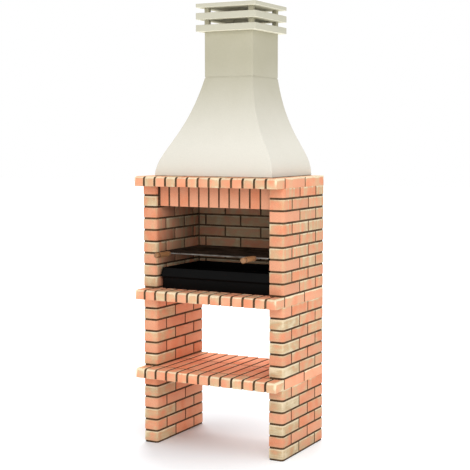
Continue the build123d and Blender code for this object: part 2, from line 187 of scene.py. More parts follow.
class GrainyFinish:
    """What the finishes with a fine relief share: the sizes of their surface, and its closing."""

    bump_height: float
    bump_strength: float
    roughness: float
    specular: float

    def close(self, tree: NodeTree, tone: NodeSocket, relief: Node) -> None:
        """Closes the material with its surface.

        Args:
            tree: the material's tree.
            tone: its colour.
            relief: the grain that stands up from the surface.
        """
        bump = add_node(
            tree, "ShaderNodeBump",
            {"Height": relief, "Strength": self.bump_strength, "Distance": self.bump_height},
        )
        shader = add_node(
            tree, "ShaderNodeBsdfPrincipled",
            {
                "Base Color": tone, "Roughness": self.roughness, "Normal": bump,
                "Specular IOR Level": self.specular,
            },
        )
        add_node(tree, "ShaderNodeOutputMaterial", {"Surface": shader})


@dataclass(frozen=True)
class FiredBrick(GrainyFinish):
    """Flamed facing brick: extruded clay with a sanded face, fired salmon with buff flashes.

    The kiln flashes each brick to cream along its arrises and in drifting patches, the wire of
    the extruder leaves drag marks along it, and the sanded skin is dry and matt. The pale arrises
    also carry a painted highlight, paler on the upper arrises than on the lower ones. A span is the
    part of a measure over which a tone or share comes in.
    """

    name: str
    grain: Grain
    coral: str = "#E8A481"
    ember: str = "#E58C64"
    buff: str = "#CEB58C"
    cream: str = "#EFDCBA"
    # Soot and painted shade: the dark tone that the bricks take deep in the firebox
    soot: str = "#5F5447"
    own_cut: tuple[float, float, float] = (91.0, 57.0, 73.0)
    drag_width: float = 4.5 * MM
    patch_width: float = 36 * MM
    sand_width: float = 1.5 * MM
    flash_reach: float = 12 * MM
    edge_flash: float = 0.45
    # How far the pale arrises, kiln flash and painted highlight together, push the skin to cream
    arris_bleach: float = 0.7
    rise_span: tuple[float, float] = (-0.6, 0.8)
    low_share: float = 0.25
    flamed_span: tuple[float, float] = (-0.8, -0.35)
    unflamed_share: float = 0.2
    drag_share: float = 0.8
    patch_share: float = 1.6
    ember_pull: float = -1.2
    ember_span: tuple[float, float] = (-0.8, -0.1)
    ember_most: float = 0.8
    buff_span: tuple[float, float] = (0.95, 1.85)
    buff_most: float = 1.0
    cream_span: tuple[float, float] = (1.5, 2.3)
    cream_most: float = 0.9
    sand_span: tuple[float, float] = (0.3, 0.7)
    sand_levels: tuple[float, float] = (0.88, 1.08)
    drag_height: float = 0.8
    bump_height: float = 0.5 * MM
    bump_strength: float = 0.6
    roughness: float = 0.88
    specular: float = 0.25

    def depth(self, tree: NodeTree, spot: NodeSocket, reach: NodeSocket) -> Node:
        """Measures how far the skin is from the brick's nearest arris.

        That is the middle one of the distances to the brick's three pairs of faces.

        Args:
            tree: the material's tree.
            spot: the skin's place from the brick's middle.
            reach: half the brick's size.

        Returns:
            The node that gives the distance.
        """
        inward = add_node(tree, "ShaderNodeVectorMath", (spot,), operation="ABSOLUTE")
        inward = add_node(tree, "ShaderNodeVectorMath", (reach, inward), operation="SUBTRACT")
        total = add_node(
            tree, "ShaderNodeVectorMath", (inward, (1, 1, 1)), operation="DOT_PRODUCT"
        ).outputs["Value"]
        least, *others = add_node(tree, "ShaderNodeSeparateXYZ", (inward,)).outputs
        most = least
        for other in others:
            least = add_node(tree, "ShaderNodeMath", (least, other), operation="MINIMUM")
            most = add_node(tree, "ShaderNodeMath", (most, other), operation="MAXIMUM")
        rest = add_node(tree, "ShaderNodeMath", (total, least), operation="SUBTRACT")
        return add_node(tree, "ShaderNodeMath", (rest, most), operation="SUBTRACT")

    def arris_flash(
        self, tree: NodeTree, spot: NodeSocket, reach: NodeSocket, flash: NodeSocket
    ) -> Node:
        """Works out how far the flame bleached the skin along the arrises, with a painted highlight
        on the upper ones.

        Args:
            tree: the material's tree.
            spot: the skin's place from the brick's middle.
            reach: half the brick's size.
            flash: how much of the flame the brick got.

        Returns:
            The node that gives the share.
        """
        depth = self.depth(tree, spot, reach)
        share = add_node(
            tree, "ShaderNodeMapRange", (depth, 0.0, self.flash_reach, self.edge_flash, 0.0),
            interpolation_type="SMOOTHSTEP",
        )
        # Painted highlight: the upper arrises are paler than the lower ones, as if lit from above
        painted_top_light = add_node(tree, "ShaderNodeVectorMath", (spot, reach), operation="DIVIDE")
        painted_top_light = add_node(tree, "ShaderNodeSeparateXYZ", (painted_top_light,)).outputs["Z"]
        painted_top_light = add_node(tree, "ShaderNodeMapRange", (painted_top_light, *self.rise_span, self.low_share))
        # A brick from the middle of the stack keeps its arrises red too
        flamed = add_node(
            tree, "ShaderNodeMapRange", (flash, *self.flamed_span, self.unflamed_share)
        )
        for part in (painted_top_light, flamed):
            share = add_node(tree, "ShaderNodeMath", (share, part), operation="MULTIPLY")
        return share

    def material(self) -> Material:
        """Builds the fired clay from its flashes, drag marks, patches and sand grain, and the soot
        and painted shade deep in the firebox.

        Returns:
            The material.
        """
        material, tree = new_material(self.name)
        place = add_node(tree, "ShaderNodeTexCoord").outputs["Object"]
        kiln, spot, reach = (
            add_node(tree, "ShaderNodeAttribute", attribute_name=mark).outputs["Vector"]
            for mark in ("kiln", "spot", "reach")
        )
        soot = add_node(tree, "ShaderNodeAttribute", attribute_name="soot").outputs["Fac"]
        flash, shade, blush = add_node(tree, "ShaderNodeSeparateXYZ", (kiln,)).outputs

        # Each brick cuts its pattern from another place of the noise
        own = add_node(
            tree, "ShaderNodeVectorMath", (kiln, self.own_cut, place), operation="MULTIPLY_ADD"
        )
        along = add_node(
            tree, "ShaderNodeVectorMath", (own, self.grain.value), operation="MULTIPLY"
        )
        drag = add_node(
            tree, "ShaderNodeTexNoise",
            {0: along, "Scale": NOISE_GRAIN / self.drag_width, "Detail": 3.0, "Roughness": 0.6},
        )
        patch = add_node(
            tree, "ShaderNodeTexNoise",
            {0: own, "Scale": NOISE_GRAIN / self.patch_width, "Detail": 1.0, "Distortion": 0.4},
        )
        sand = add_node(
            tree, "ShaderNodeTexNoise",
            {0: place, "Scale": NOISE_GRAIN / self.sand_width, "Detail": 2.0},
        )

        # How far the kiln has bleached the clay, with the painted highlight on the arrises, and
        # where it stayed red
        edge = self.arris_flash(tree, spot, reach, flash)
        drift = add_node(tree, "ShaderNodeMath", (flash, edge), operation="ADD")
        for measure, share in ((drag, self.drag_share), (patch, self.patch_share)):
            drift = add_node(
                tree, "ShaderNodeMath", (measure, share, drift), operation="MULTIPLY_ADD"
            )
        red = add_node(
            tree, "ShaderNodeMath", (patch, self.ember_pull, blush), operation="MULTIPLY_ADD"
        )
        bleach_and_highlight = add_node(
            tree, "ShaderNodeMath", (edge, self.arris_bleach, drift), operation="MULTIPLY_ADD"
        )
        tone = linear(self.coral)
        for measure, span, most, other in (
            (red, self.ember_span, self.ember_most, self.ember),
            (drift, self.buff_span, self.buff_most, self.buff),
            (bleach_and_highlight, self.cream_span, self.cream_most, self.cream),
        ):
            share = add_node(
                tree, "ShaderNodeMapRange", (measure, *span, 0.0, most),
                interpolation_type="SMOOTHSTEP",
            )
            tone = add_node(
                tree, "ShaderNodeMix", {MIX_FACTOR: share, MIX_A: tone, MIX_B: linear(other)},
                data_type="RGBA",
            ).outputs[MIX_RESULT]

        # The grain of the sand and the brick's own shade, which holds painted light too, and then
        # the soot and painted shade that darken the firebox towards its back
        level = add_node(tree, "ShaderNodeMapRange", (sand, *self.sand_span, *self.sand_levels))
        level = add_node(tree, "ShaderNodeMath", (level, shade), operation="MULTIPLY")
        level = add_node(tree, "ShaderNodeCombineXYZ", [level] * 3)
        tone = add_node(
            tree, "ShaderNodeMix", {MIX_FACTOR: 1.0, MIX_A: tone, MIX_B: level},
            data_type="RGBA", blend_type="MULTIPLY",
        ).outputs[MIX_RESULT]
        tone = add_node(
            tree, "ShaderNodeMix", {MIX_FACTOR: soot, MIX_A: tone, MIX_B: linear(self.soot)},
            data_type="RGBA",
        ).outputs[MIX_RESULT]
        height = add_node(
            tree, "ShaderNodeMath", (drag, self.drag_height, sand), operation="MULTIPLY_ADD"
        )
        self.close(tree, tone, height)
        return material


@dataclass(frozen=True)
class StruckMortar(GrainyFinish):
    """Cement mortar, raked back and struck smooth: a dark grey-brown with sharp sand in it."""

    name: str = "struck_cement_mortar"
    dark: str = "#402E1E"
    light: str = "#69523A"
    cloud_width: float = 40 * MM
    grain_width: float = 1.8 * MM
    grain_share: float = 0.7
    light_span: tuple[float, float] = (0.65, 1.05)
    bump_height: float = 0.6 * MM
    bump_strength: float = 0.6
    roughness: float = 0.95
    specular: float = 0.25

    def material(self) -> Material:
        """Builds the mortar from soft clouds and sand grain.

        Returns:
            The material.
        """
        material, tree = new_material(self.name)
        place = add_node(tree, "ShaderNodeTexCoord").outputs["Object"]
        cloud, grain = (
            add_node(
                tree, "ShaderNodeTexNoise",
                {0: place, "Scale": NOISE_GRAIN / width, "Detail": detail},
            )
            for width, detail in ((self.cloud_width, 3.0), (self.grain_width, 2.0))
        )
        share = add_node(
            tree, "ShaderNodeMath", (grain, self.grain_share, cloud), operation="MULTIPLY_ADD"
        )
        share = add_node(tree, "ShaderNodeMapRange", (share, *self.light_span))
        tone = add_node(
            tree, "ShaderNodeMix",
            {MIX_FACTOR: share, MIX_A: linear(self.dark), MIX_B: linear(self.light)},
            data_type="RGBA",
        ).outputs[MIX_RESULT]
        self.close(tree, tone, grain)
        return material


@dataclass(frozen=True)
class CastConcrete(GrainyFinish):
    """White cement concrete, cast in a smooth mould: cream, faintly sanded and clouded.

    Its tone darkens and greys towards the top, so the flue and cap are duller than the hood's
    foot.
    """

    name: str = "cast_white_concrete"
    foot: str = "#DFDBCF"
    top: str = "#B1AC96"
    sheltered: str | None = None
    foot_z: float = 1.5
    top_z: float = 2.05
    cloud_width: float = 90 * MM
    grain_width: float = 1.5 * MM
    cloud_share: float = 0.24
    top_span: tuple[float, float] = (0.12, 1.12)
    sheltered_span: tuple[float, float] = (-0.3, -0.8)
    sand_span: tuple[float, float] = (0.3, 0.7)
    sand_levels: tuple[float, float] = (0.95, 1.03)
    bump_height: float = 0.3 * MM
    bump_strength: float = 0.3
    roughness: float = 0.8
    specular: float = 0.3

    def material(self) -> Material:
        """Builds the concrete from its darkening towards the top, its clouds and fine sand.

        Returns:
            The material.
        """
        material, tree = new_material(self.name)
        place = add_node(tree, "ShaderNodeTexCoord").outputs["Object"]
        height = add_node(tree, "ShaderNodeSeparateXYZ", (place,)).outputs["Z"]
        cloud = add_node(
            tree, "ShaderNodeTexNoise",
            {0: place, "Scale": NOISE_GRAIN / self.cloud_width, "Detail": 4.0, "Roughness": 0.6},
        )
        grain = add_node(
            tree, "ShaderNodeTexNoise",
            {0: place, "Scale": NOISE_GRAIN / self.grain_width, "Detail": 2.0},
        )
        toward_top = add_node(
            tree, "ShaderNodeMapRange", (height, self.foot_z, self.top_z),
            interpolation_type="SMOOTHSTEP",
        )
        toward_top = add_node(
            tree, "ShaderNodeMath", (cloud, self.cloud_share, toward_top), operation="MULTIPLY_ADD"
        )
        toward_top = add_node(tree, "ShaderNodeMapRange", (toward_top, *self.top_span))
        tone = add_node(
            tree, "ShaderNodeMix",
            {MIX_FACTOR: toward_top, MIX_A: linear(self.foot), MIX_B: linear(self.top)},
            data_type="RGBA",
        ).outputs[MIX_RESULT]
        # Painted light: faces that turn downward take a paler tone, as if lit from below
        if self.sheltered:
            facing = add_node(tree, "ShaderNodeNewGeometry").outputs["Normal"]
            facing = add_node(tree, "ShaderNodeSeparateXYZ", (facing,)).outputs["Z"]
            under = add_node(tree, "ShaderNodeMapRange", (facing, *self.sheltered_span))
            tone = add_node(
                tree, "ShaderNodeMix",
                {MIX_FACTOR: under, MIX_A: tone, MIX_B: linear(self.sheltered)},
                data_type="RGBA",
            ).outputs[MIX_RESULT]
        level = add_node(tree, "ShaderNodeMapRange", (grain, *self.sand_span, *self.sand_levels))
        level = add_node(tree, "ShaderNodeCombineXYZ", [level] * 3)
        tone = add_node(
            tree, "ShaderNodeMix", {MIX_FACTOR: 1.0, MIX_A: tone, MIX_B: level},
            data_type="RGBA", blend_type="MULTIPLY",
        ).outputs[MIX_RESULT]
        self.close(tree, tone, grain)
        return material


@dataclass(frozen=True)
class StovedPaint(GrainyFinish):
    """Heat-proof paint, sprayed on folded sheet steel and stoved: dead black with a dull gleam."""

    name: str = "stoved_black_paint"
    paint: str = "#030303"
    ash: str = "#060605"
    cloud_width: float = 70 * MM
    grain_width: float = 1.2 * MM
    ash_span: tuple[float, float] = (0.4, 0.75)
    ash_most: float = 0.6
    bump_height: float = 0.15 * MM
    bump_strength: float = 0.25
    roughness: float = 0.6
    specular: float = 0.09

    def material(self) -> Material:
        """Builds the paint with a thin film of ash and its orange-peel skin.

        Returns:
            The material.
        """
        material, tree = new_material(self.name)
        place = add_node(tree, "ShaderNodeTexCoord").outputs["Object"]
        cloud, grain = (
            add_node(
                tree, "ShaderNodeTexNoise",
                {0: place, "Scale": NOISE_GRAIN / width, "Detail": detail},
            )
            for width, detail in ((self.cloud_width, 4.0), (self.grain_width, 1.0))
        )
        share = add_node(tree, "ShaderNodeMapRange", (cloud, *self.ash_span, 0.0, self.ash_most))
        tone = add_node(
            tree, "ShaderNodeMix",
            {MIX_FACTOR: share, MIX_A: linear(self.paint), MIX_B: linear(self.ash)},
            data_type="RGBA",
        ).outputs[MIX_RESULT]
        self.close(tree, tone, grain)
        return material


@dataclass(frozen=True)
class DrawnWire:
    """Drawn steel rod with a thin zinc plating: a soft grey metal, dulled and browned by heat."""

    name: str = "zinc_plated_wire"
    bright: str = "#8F8C86"
    burnt: str = "#575049"
    cloud_width: float = 35 * MM
    stain_span: tuple[float, float] = (0.4, 0.65)
    dull_span: tuple[float, float] = (0.35, 0.7)
    roughness: float = 0.38
    dull_roughness: float = 0.58
    metallic: float = 0.9

    def material(self) -> Material:
        """Builds the wire with its heat stains.

        Returns:
            The material.
        """
        material, tree = new_material(self.name)
        place = add_node(tree, "ShaderNodeTexCoord").outputs["Object"]
        cloud = add_node(
            tree, "ShaderNodeTexNoise",
            {0: place, "Scale": NOISE_GRAIN / self.cloud_width, "Detail": 3.0},
        )
        stain = add_node(tree, "ShaderNodeMapRange", (cloud, *self.stain_span))
        tone = add_node(
            tree, "ShaderNodeMix",
            {MIX_FACTOR: stain, MIX_A: linear(self.bright), MIX_B: linear(self.burnt)},
            data_type="RGBA",
        ).outputs[MIX_RESULT]
        dull = add_node(
            tree, "ShaderNodeMapRange",
            (cloud, *self.dull_span, self.roughness, self.dull_roughness),
        )
        shader = add_node(
            tree, "ShaderNodeBsdfPrincipled",
            {"Base Color": tone, "Metallic": self.metallic, "Roughness": dull},
        )
        add_node(tree, "ShaderNodeOutputMaterial", {"Surface": shader})
        return material


@dataclass(frozen=True)
class TurnedBeech(GrainyFinish):
    """Beech, turned on a lathe and oiled: warm tan, with fine grain along the handle.

    The bottoms of the grooves are painted dark: painted shade in the grooves.
    """

    name: str = "oiled_beech"
    scorched: str = "#2E1B10"
    light: str = "#A1744A"
    dark: str = "#714A2D"
    grain_width: float = 2.2 * MM
    grain_length: float = 60 * MM
    dark_span: tuple[float, float] = (0.35, 0.7)
    bump_height: float = 0.2 * MM
    bump_strength: float = 0.2
    roughness: float = 0.5
    specular: float = 0.5

    def material(self) -> Material:
        """Builds the wood from long grain, which runs from front to back.

        Returns:
            The material.
        """
        material, tree = new_material(self.name)
        place = add_node(tree, "ShaderNodeTexCoord").outputs["Object"]
        grain_size = (self.grain_width, self.grain_length, self.grain_width)
        stretch = tuple(NOISE_GRAIN / size for size in grain_size)
        along = add_node(tree, "ShaderNodeVectorMath", (place, stretch), operation="MULTIPLY")
        grain = add_node(
            tree, "ShaderNodeTexNoise",
            {0: along, "Scale": 1.0, "Detail": 3.0, "Distortion": 0.4},
        )
        share = add_node(tree, "ShaderNodeMapRange", (grain, *self.dark_span))
        scorch = add_node(tree, "ShaderNodeAttribute", attribute_name="scorch").outputs["Fac"]
        tone = linear(self.light)
        # Grain darkens the wood, and painted shade darkens the bottoms of the grooves
        for part, other in ((share, self.dark), (scorch, self.scorched)):
            tone = add_node(
                tree, "ShaderNodeMix", {MIX_FACTOR: part, MIX_A: tone, MIX_B: linear(other)},
                data_type="RGBA",
            ).outputs[MIX_RESULT]
        self.close(tree, tone, grain)
        return material


@dataclass(frozen=True)
class MillSteel:
    """Hot-rolled reinforcing rod with its mill scale: a dark blue-grey, rust in the pits."""

    name: str = "mill_scale_steel"
    scale_tone: str = "#3B3A3B"
    rust: str = "#6A4630"
    spot_width: float = 6 * MM
    rust_span: tuple[float, float] = (0.5, 0.65)
    metallic: float = 0.6
    roughness: float = 0.7

    def material(self) -> Material:
        """Builds the scale with its rust spots.

        Returns:
            The material.
        """
        material, tree = new_material(self.name)
        place = add_node(tree, "ShaderNodeTexCoord").outputs["Object"]
        spots = add_node(
            tree, "ShaderNodeTexNoise",
            {0: place, "Scale": NOISE_GRAIN / self.spot_width, "Detail": 3.0},
        )
        share = add_node(tree, "ShaderNodeMapRange", (spots, *self.rust_span))
        tone = add_node(
            tree, "ShaderNodeMix",
            {MIX_FACTOR: share, MIX_A: linear(self.scale_tone), MIX_B: linear(self.rust)},
            data_type="RGBA",
        ).outputs[MIX_RESULT]
        shader = add_node(
            tree, "ShaderNodeBsdfPrincipled",
            {"Base Color": tone, "Metallic": self.metallic, "Roughness": self.roughness},
        )
        add_node(tree, "ShaderNodeOutputMaterial", {"Surface": shader})
        return material


def only(piece: Object) -> None:
    """Deselects everything and makes one piece the selected, active one.

    Args:
        piece: the object that the next operators act on.
    """
    bpy.ops.object.select_all(action="DESELECT")
    piece.hide_viewport = False
    piece.select_set(True)
    bpy.context.view_layer.objects.active = piece


def copy_of_node(frame: dict, node: str, name: str) -> Object:
    """Copies a node's mesh into a new object and makes one clean surface of its loose triangles.

    Args:
        frame: the loaded frame.
        node: the node's name.
        name: the new piece's name.

    Returns:
        The copy, merged, with its flat faces dissolved into whole ones.
    """
    mesh = frame["nodes"][node].data.copy()
    mesh.materials.clear()
    piece = bpy.data.objects.new(name, mesh)
    bpy.context.scene.collection.objects.link(piece)
    only(piece)
    bpy.ops.object.mode_set(mode="EDIT")
    bpy.ops.mesh.select_all(action="SELECT")
    bpy.ops.mesh.customdata_custom_splitnormals_clear()
    bpy.ops.mesh.remove_doubles(threshold=MERGE_DISTANCE)
    bpy.ops.mesh.dissolve_limited(angle_limit=FLAT_ANGLE)
    bpy.ops.object.mode_set(mode="OBJECT")
    return piece


def bevel(piece: Object, width: float, segments: int) -> None:
    """Rounds every sharp arris of a piece.

    Args:
        piece: the piece.
        width: how far the rounding reaches from the arris.
        segments: how many strips make the rounding.
    """
    only(piece)
    rounding = piece.modifiers.new("arris", "BEVEL")
    rounding.width = width
    rounding.segments = segments
    rounding.limit_method = "ANGLE"
    rounding.angle_limit = ARRIS_ANGLE
    rounding.harden_normals = False
    bpy.ops.object.modifier_apply(modifier=rounding.name)
    bpy.ops.object.shade_smooth_by_angle(angle=ARRIS_ANGLE)


def pick(piece: Object, kind: str, test: Callable[[Vector, Vector], bool]) -> None:
    """Selects faces or edges of the piece in edit mode, by their place or normal.

    Args:
        piece: the piece, in edit mode.
        kind: "FACE" or "EDGE".
        test: takes a face's middle and normal, or an edge's two ends, and tells whether it is
            wanted.
    """
    bpy.ops.mesh.select_mode(type=kind)
    bpy.ops.mesh.select_all(action="DESELECT")
    work = bmesh.from_edit_mesh(piece.data)
    if kind == "FACE":
        for face in work.faces:
            face.select_set(test(face.calc_center_median(), face.normal))
    else:
        for edge in work.edges:
            edge.select_set(test(edge.verts[0].co, edge.verts[1].co))
    work.select_flush_mode()
    bmesh.update_edit_mesh(piece.data)


def settle(piece: Object, name: str) -> None:
    """Leaves edit mode, turns the faces outward and puts the piece's origin back at the frame's.

    Args:
        piece: the piece, in edit mode.
        name: its name.
    """
    bpy.ops.mesh.select_all(action="SELECT")
    bpy.ops.mesh.remove_doubles(threshold=MERGE_DISTANCE)
    bpy.ops.mesh.normals_make_consistent(inside=False)
    bpy.ops.object.mode_set(mode="OBJECT")
    only(piece)
    bpy.ops.object.transform_apply(location=True, rotation=True, scale=True)
    piece.name = name
    piece.data.name = name


def loose_parts(work: bmesh.types.BMesh) -> Iterator[list[bmesh.types.BMVert]]:
    """Goes through a mesh one loose part at a time.

    Args:
        work: the mesh.

    Yields:
        The vertices of each part, in the order of its first vertex.
    """
    work.verts.ensure_lookup_table()
    seen: set[int] = set()
    for first in work.verts:
        if first.index in seen:
            continue
        part, waiting = [], [first]
        seen.add(first.index)
        while waiting:
            vertex = waiting.pop()
            part.append(vertex)
            for link in vertex.link_edges:
                other = link.other_vert(vertex)
                if other.index not in seen:
                    seen.add(other.index)
                    waiting.append(other)
        yield part


def surface_of(meshes: list[Mesh]) -> BVHTree:
    """Gathers meshes that stand at the origin into one surface to measure distances to.

    Args:
        meshes: the meshes.

    Returns:
        The surface.
    """
    points: list[Vector] = []
    faces: list[list[int]] = []
    for mesh in meshes:
        first = len(points)
        points.extend(vertex.co.copy() for vertex in mesh.vertices)
        faces.extend([first + index for index in face.vertices] for face in mesh.polygons)
    return BVHTree.FromPolygons(points, faces)


@dataclass(frozen=True)
class Firing:
    """How one batch of bricks left the kiln: the spread of its flashes and of its lightness.

    The bricks that lead a shelf or a pier can have a spread of flashes of their own. Part of
    the lightness is painted light, set for where each batch stands in the light.
    """

    flash: tuple[float, float]
    lead_flash: tuple[float, float] | None = None
    shade: tuple[float, float] = (0.95, 1.05)


# The flame bleached the front bricks of the two lower tiers most, and left the soldiers red.
# The lighter shelves are painted light on their lit noses and tops, the darker upper tier is
# painted shade, and the redder, lighter left middle tier is painted bounce light in the bay.
FIRINGS = {
    "top_shelf": Firing((-0.35, 0.1), (-0.25, 0.25), shade=(0.97, 1.07)),
    "hearth_shelf": Firing((-0.5, -0.1), (-0.35, 0.15), shade=(1.03, 1.15)),
    "lower_shelf": Firing((-0.6, -0.2), (-0.35, 0.15), shade=(1.05, 1.16)),
    "lintel": Firing((-0.9, -0.5), shade=(0.95, 1.03)),
    "back_wall": Firing((0.0, 0.35)),
    "upper": Firing((-0.45, -0.05), (-0.6, -0.35), shade=(0.9, 1.0)),
    "left_middle": Firing((-0.75, -0.2), (0.0, 0.3), shade=(0.98, 1.08)),
    "left_lower": Firing((-0.6, -0.15), (0.05, 0.35), shade=(0.95, 1.05)),
    "right_middle": Firing((-0.35, 0.15), (0.35, 0.6), shade=(0.92, 1.02)),
    "right_lower": Firing((-0.35, 0.15), (0.3, 0.55), shade=(0.92, 1.02)),
}


@dataclass
class Brickwork:
    """All the bricks, with worn arrises, a firing for each and mortar smeared on joint faces."""

    frame: dict
    level_brick: Material
    banded_brick: Material
    upright_brick: Material
    smear: Material
    mortar_nodes: list[str]
    arris: float = 1.2 * MM
    arris_segments: int = 2
    touch: float = 0.2 * MM
    cover: float = 8 * MM
    seed: int = 11
    blush_range: tuple[float, float] = (-0.25, 0.25)
    lead_ratio: float = 1.5
    # Soot and painted shade darken the firebox over this depth from its mouth, up to this share
    soot_depth: float = 160 * MM
    soot_share: float = 0.45

    def nodes(self) -> dict[str, Material]:
        """Lists the frame's brick nodes in building order.

        Returns:
            Each node with the brick that it is laid in.
        """
        piers = [f"{side.word}_{tier.value}_bricks" for tier in Tier for side in Side]
        upper = [node for node in piers if Tier.UPPER.value in node]
        shelves = [f"{shelf.value}_bricks" for shelf in Shelf]
        laid = dict.fromkeys([*piers, "back_wall_bricks"], self.level_brick)
        laid |= dict.fromkeys(upper, self.banded_brick)
        return laid | dict.fromkeys([*shelves, "lintel_bricks"], self.upright_brick)

    def firebox(self) -> tuple[Vector, Vector]:
        """Finds the space between the piers, the hearth, the top shelf and the back wall.

        Returns:
            Its lower and its upper corner.
        """
        pier_low, pier_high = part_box("left_upper_bricks")
        wall_low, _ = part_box("back_wall_bricks")
        margin = Vector((self.touch, self.touch, self.touch))
        low = Vector((pier_high.x, pier_low.y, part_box("hearth_shelf_bricks")[1].z))
        high = Vector((-pier_high.x, wall_low.y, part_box("top_shelf_bricks")[0].z))
        return low - margin, high + margin

    def leads(self, low: Vector, high: Vector) -> bool:
        """Tells whether a brick is a shelf's nose, or a long one at a pier's front face.

        Args:
            low: the lower corner of the brick.
            high: its upper corner.

        Returns:
            Whether the brick leads its row.
        """
        if abs(low.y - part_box("hearth_shelf_bricks")[0].y) < self.touch:
            return True
        at_front = abs(low.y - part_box("left_upper_bricks")[0].y) < self.touch
        return at_front and high.y - low.y > self.lead_ratio * (high.x - low.x)

    def mark(self, piece: Object, firing: Firing, draw: random.Random) -> None:
        """Writes each brick's kiln marks, its middle and reach, and the soot and painted shade of
        the firebox, which deepen towards its back.

        Args:
            piece: the bricks of one node.
            firing: how these bricks left the kiln.
            draw: the seeded source of chance.
        """
        work = bmesh.new()
        work.from_mesh(piece.data)
        kiln = work.verts.layers.float_vector.new("kiln")
        spot = work.verts.layers.float_vector.new("spot")
        reach = work.verts.layers.float_vector.new("reach")
        soot = work.verts.layers.float.new("soot")
        fire_low, fire_high = self.firebox()
        whole_low = Vector([min(v.co[i] for v in work.verts) for i in range(3)])
        whole_high = Vector([max(v.co[i] for v in work.verts) for i in range(3)])
        for brick in loose_parts(work):
            low = Vector([min(v.co[i] for v in brick) for i in range(3)])
            high = Vector([max(v.co[i] for v in brick) for i in range(3)])
            leads = firing.lead_flash is not None and self.leads(low, high)
            flash = firing.lead_flash if leads else firing.flash
            marks = [draw.uniform(*spread) for spread in (flash, firing.shade, self.blush_range)]
            # An arris in an upright joint lay covered in the kiln, as if deeper in the brick
            for axis in (0, 1):
                low[axis] -= self.cover * (low[axis] > whole_low[axis] + self.touch)
                high[axis] += self.cover * (high[axis] < whole_high[axis] - self.touch)
            for vertex in brick:
                vertex[kiln] = Vector(marks)
                vertex[spot] = vertex.co - (low + high) / 2
                vertex[reach] = (high - low) / 2
                # Soot and painted shade: the firebox's bricks darken from its mouth towards its
                # back
                if all(fire_low[i] <= vertex.co[i] <= fire_high[i] for i in range(3)):
                    inside = (vertex.co.y - fire_low.y) / self.soot_depth
                    vertex[soot] = self.soot_share * min(1.0, inside)
        work.to_mesh(piece.data)
        work.free()

    def smear_joints(self, piece: Object, mortar: BVHTree) -> None:
        """Gives the brick faces that the mortar touches their smeared finish.

        Args:
            piece: the bricks of one node.
            mortar: the surface of all the mortar.
        """
        for face in piece.data.polygons:
            near = mortar.find_nearest(face.center, self.touch)
            face.material_index = 0 if near[0] is None else 1

    def build(self) -> list[Object]:
        """Dresses every brick node.

        Returns:
            One piece for each node, riding on the masonry.
        """
        draw = random.Random(self.seed)
        mortar = surface_of([self.frame["nodes"][node].data for node in self.mortar_nodes])
        made = []
        for node, brick in self.nodes().items():
            piece = copy_of_node(self.frame, node, f"dressed_{node}")
            bevel(piece, self.arris, self.arris_segments)
            piece.data.materials.append(brick)
            piece.data.materials.append(self.smear)
            firing = next(firing for batch, firing in FIRINGS.items() if batch in node)
            self.mark(piece, firing, draw)
            self.smear_joints(piece, mortar)
            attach(piece, "masonry")
            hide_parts(node)
            made.append(piece)
        return made


@dataclass
class Castings:
    """The concrete hood, flue and rain cap, with the soft arrises that a mould leaves."""

    frame: dict
    finish: Material
    cap_finish: Material
    arris: float = 2.5 * MM
    arris_segments: int = 3
    blocks: tuple[str, ...] = (
        "flue_pipe", "cap_bottom_frame", "cap_lower_posts", "cap_middle_frame", "cap_upper_posts",
        "cap_top_plate",
    )

    def build(self) -> list[Object]:
        """Dresses the castings.

        Returns:
            The pieces made.
        """
        made = []
        for node in self.blocks:
            piece = copy_of_node(self.frame, node, f"dressed_{node}")
            bevel(piece, self.arris, self.arris_segments)
            # The frames and the top plate take the cap concrete, with painted light on their
            # undersides
            pale = node.endswith(("frame", "plate"))
            piece.data.materials.append(self.cap_finish if pale else self.finish)
            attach(piece, "masonry")
            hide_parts(node)
            made.append(piece)
        return made


